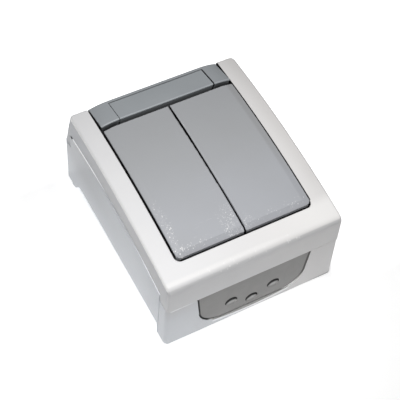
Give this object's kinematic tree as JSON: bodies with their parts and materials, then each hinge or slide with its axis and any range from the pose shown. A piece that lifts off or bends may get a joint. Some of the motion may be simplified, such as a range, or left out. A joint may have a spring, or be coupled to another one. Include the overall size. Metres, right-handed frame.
{
  "type": "outdoor weatherproof switch",
  "caption": "Surface-mounted weatherproof wall switch: box with an arched frame, side-by-side tilting rocker keys, grey label strip and soft cable entry.",
  "frame": {"origin": "middle of the back face that lies on the wall", "axes": "+X across to the right rocker, +Y up the wall from the cable entry to the label strip, +Z out of the wall"},
  "size_m": [0.067, 0.0816, 0.0413],
  "materials": {
    "base_plastic": "moulded white, satin, slightly cool",
    "cover_plastic": "moulded white, satin",
    "rocker_plastic": "moulded light grey, fine satin, scuffed near the edges",
    "strip_plastic": "moulded mid grey, satin",
    "label_plastic": "moulded mid grey, satin",
    "entry_rubber": "soft grey, matt",
    "gasket_rubber": "soft black, matt",
    "insulator_plastic": "pressed cream insulator, matt",
    "cradle_plastic": "moulded natural white, matt",
    "plunger_plastic": "moulded black, smooth",
    "screw_steel": "zinc plated",
    "spring_steel": "bright drawn wire",
    "contact_brass": "stamped, bright"
  },
  "bodies": {
    "housing": {"base_box": "base_plastic", "cover_frame": "cover_plastic", "label_strip": "strip_plastic", "label_plate": "label_plastic", "cable_entry": "entry_rubber", "cover_gasket": "gasket_rubber", "mechanism_body": "insulator_plastic", "mechanism_screws": "screw_steel", "common_terminal": "contact_brass", "terminal_clamps": "contact_brass", "terminal_screws": "screw_steel", "fixed_contact_left": "contact_brass", "fixed_contact_right": "contact_brass"},
    "rocker_left_body": {"rocker_left": "rocker_plastic", "cradle_left": "cradle_plastic", "plunger_left": "plunger_plastic", "spring_left": "spring_steel"},
    "contact_left_body": {"contact_left": "contact_brass"},
    "rocker_right_body": {"rocker_right": "rocker_plastic", "cradle_right": "cradle_plastic", "plunger_right": "plunger_plastic", "spring_right": "spring_steel"},
    "contact_right_body": {"contact_right": "contact_brass"}
  },
  "joints": [
    {"name": "rocker_left_tilt", "type": "hinge", "parent": "housing", "child": "rocker_left_body", "pos_m": [-0.01273, -0.00407, 0.03], "axis": [1, 0, 0], "range_deg": [-3, 3]},
    {"name": "contact_left_flip", "type": "hinge", "parent": "housing", "child": "contact_left_body", "pos_m": [-0.01273, -0.00407, 0.01325], "axis": [1, 0, 0], "range_deg": [-6.2, 6.2]},
    {"name": "rocker_right_tilt", "type": "hinge", "parent": "housing", "child": "rocker_right_body", "pos_m": [0.01273, -0.00407, 0.03], "axis": [1, 0, 0], "range_deg": [-3, 3]},
    {"name": "contact_right_flip", "type": "hinge", "parent": "housing", "child": "contact_right_body", "pos_m": [0.01273, -0.00407, 0.01325], "axis": [1, 0, 0], "range_deg": [-6.2, 6.2]}
  ],
  "couplings": [
    {"joint": "contact_left_flip", "follows": "rocker_left_tilt", "ratio": -2},
    {"joint": "contact_right_flip", "follows": "rocker_right_tilt", "ratio": -2}
  ]
}
